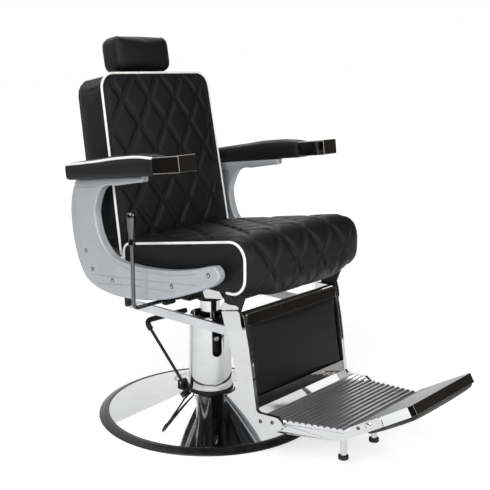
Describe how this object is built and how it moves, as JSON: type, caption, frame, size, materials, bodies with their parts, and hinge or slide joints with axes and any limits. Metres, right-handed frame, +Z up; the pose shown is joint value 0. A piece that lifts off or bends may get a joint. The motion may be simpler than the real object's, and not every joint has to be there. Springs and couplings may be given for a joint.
{
  "type": "barber chair",
  "caption": "Barber chair on a round pedestal: quilted seat and reclining back, cast arms, headrest, legrest with ribbed foot plate and flip-over pad, pump lift and swivel.",
  "frame": {"origin": "on the floor, on the axis of the round base", "axes": "+Z up, the chair faces -Y, the sitter's left is +X"},
  "size_m": [0.698, 1.1663, 1.1125],
  "materials": {
    "chrome": "polished chrome plate",
    "dark_chrome": "polished mirror chrome, dark in the reflections",
    "leather": "black leatherette, satin",
    "rubber": "moulded black rubber",
    "grey_paint": "light grey paint, satin",
    "aluminium": "brushed aluminium",
    "black_steel": "black paint, satin",
    "wood": "bare plywood"
  },
  "bodies": {
    "base": {"base_ring": "rubber", "base_dish": "chrome", "pump_collar": "black_steel", "pump_lever_pin": "chrome", "pump_cylinder": "black_steel", "column_shroud": "chrome", "column_bolt": "chrome"},
    "pump_lever": {"pump_lever_rod": "black_steel", "pump_lever_grip": "rubber"},
    "ram": {"ram": "chrome", "swivel_washer": "rubber"},
    "seat": {"seat_hub": "black_steel", "seat_plate": "black_steel", "seat_board": "wood", "cross_bar_front": "black_steel", "cross_bar_rear": "black_steel", "front_bracket_right": "black_steel", "front_bracket_left": "black_steel", "rear_bracket_right": "black_steel", "rear_bracket_left": "black_steel", "back_shaft": "chrome", "legrest_shaft": "chrome", "seat_cushion": "leather", "arm_frame_right": "grey_paint", "arm_frame_left": "grey_paint", "arm_pad_right": "leather", "arm_pad_left": "leather", "arm_cap_right": "dark_chrome", "arm_cap_left": "dark_chrome", "lever_block": "black_steel", "recline_lock": "black_steel"},
    "recline_lever": {"recline_lever_rod": "chrome", "recline_lever_grip": "black_steel"},
    "back": {"back_cushion": "leather", "back_shell": "leather", "hinge_arm_right": "black_steel", "hinge_arm_left": "black_steel", "headrest_socket": "chrome"},
    "headrest_post": {"headrest_post": "chrome"},
    "headrest": {"headrest_plate": "chrome", "headrest_cushion": "leather"},
    "legrest": {"legrest_side_right": "chrome", "legrest_side_left": "chrome", "legrest_trim_low": "dark_chrome", "legrest_trim_top": "dark_chrome", "legrest_panel": "leather", "foot_plate": "aluminium", "foot_side_right": "chrome", "foot_side_left": "chrome", "stop_post_right": "chrome", "stop_post_left": "chrome", "stop_pad_right": "rubber", "stop_pad_left": "rubber"},
    "flip_pad": {"flip_tray": "aluminium", "flip_cushion": "leather"},
    "link_right": {"link_bar_right": "aluminium"},
    "link_left": {"link_bar_left": "aluminium"}
  },
  "joints": [
    {"name": "pump_lever_press", "type": "hinge", "parent": "base", "child": "pump_lever", "pos_m": [-0.07, 0.05, 0.0883], "axis": [-1, 0, 0], "range_deg": [0, 25], "stiffness_Nm_per_rad": 1.5, "springref_deg": -34.38},
    {"name": "lift", "type": "slide", "parent": "base", "child": "ram", "axis": [0, 0, 1], "range_m": [0, 0.15]},
    {"name": "swivel", "type": "hinge", "parent": "ram", "child": "seat", "pos_m": [0, 0, 0.3486], "axis": [0, 0, 1], "continuous": true},
    {"name": "recline", "type": "hinge", "parent": "seat", "child": "back", "pos_m": [0, 0.145, 0.392], "axis": [-1, 0, 0], "range_deg": [0, 45]},
    {"name": "legrest_swing", "type": "hinge", "parent": "seat", "child": "legrest", "pos_m": [0, -0.285, 0.392], "axis": [-1, 0, 0], "range_deg": [0, 45]},
    {"name": "link_right_turn", "type": "hinge", "parent": "back", "child": "link_right", "pos_m": [0, 0.145, 0.345], "axis": [-1, 0, 0], "range_deg": [-45, 0]},
    {"name": "link_left_turn", "type": "hinge", "parent": "back", "child": "link_left", "pos_m": [0, 0.145, 0.345], "axis": [-1, 0, 0], "range_deg": [-45, 0]},
    {"name": "headrest_height", "type": "slide", "parent": "back", "child": "headrest_post", "axis": [0, 0.1676, 0.9858], "range_m": [0, 0.1]},
    {"name": "headrest_tilt", "type": "hinge", "parent": "headrest_post", "child": "headrest", "pos_m": [0, 0.35534, 1.04373], "axis": [-1, 0, 0], "range_deg": [0, 35]},
    {"name": "flip", "type": "hinge", "parent": "legrest", "child": "flip_pad", "pos_m": [0, -0.683, 0.193], "axis": [-1, 0, 0], "range_deg": [0, 140]},
    {"name": "recline_lever_pull", "type": "hinge", "parent": "seat", "child": "recline_lever", "pos_m": [-0.25, -0.055, 0.402], "axis": [1, 0, 0], "range_deg": [-15, 15], "stiffness_Nm_per_rad": 4}
  ],
  "couplings": [
    {"joint": "legrest_swing", "follows": "recline", "ratio": 1},
    {"joint": "link_right_turn", "follows": "recline", "ratio": -1},
    {"joint": "link_left_turn", "follows": "recline", "ratio": -1}
  ]
}
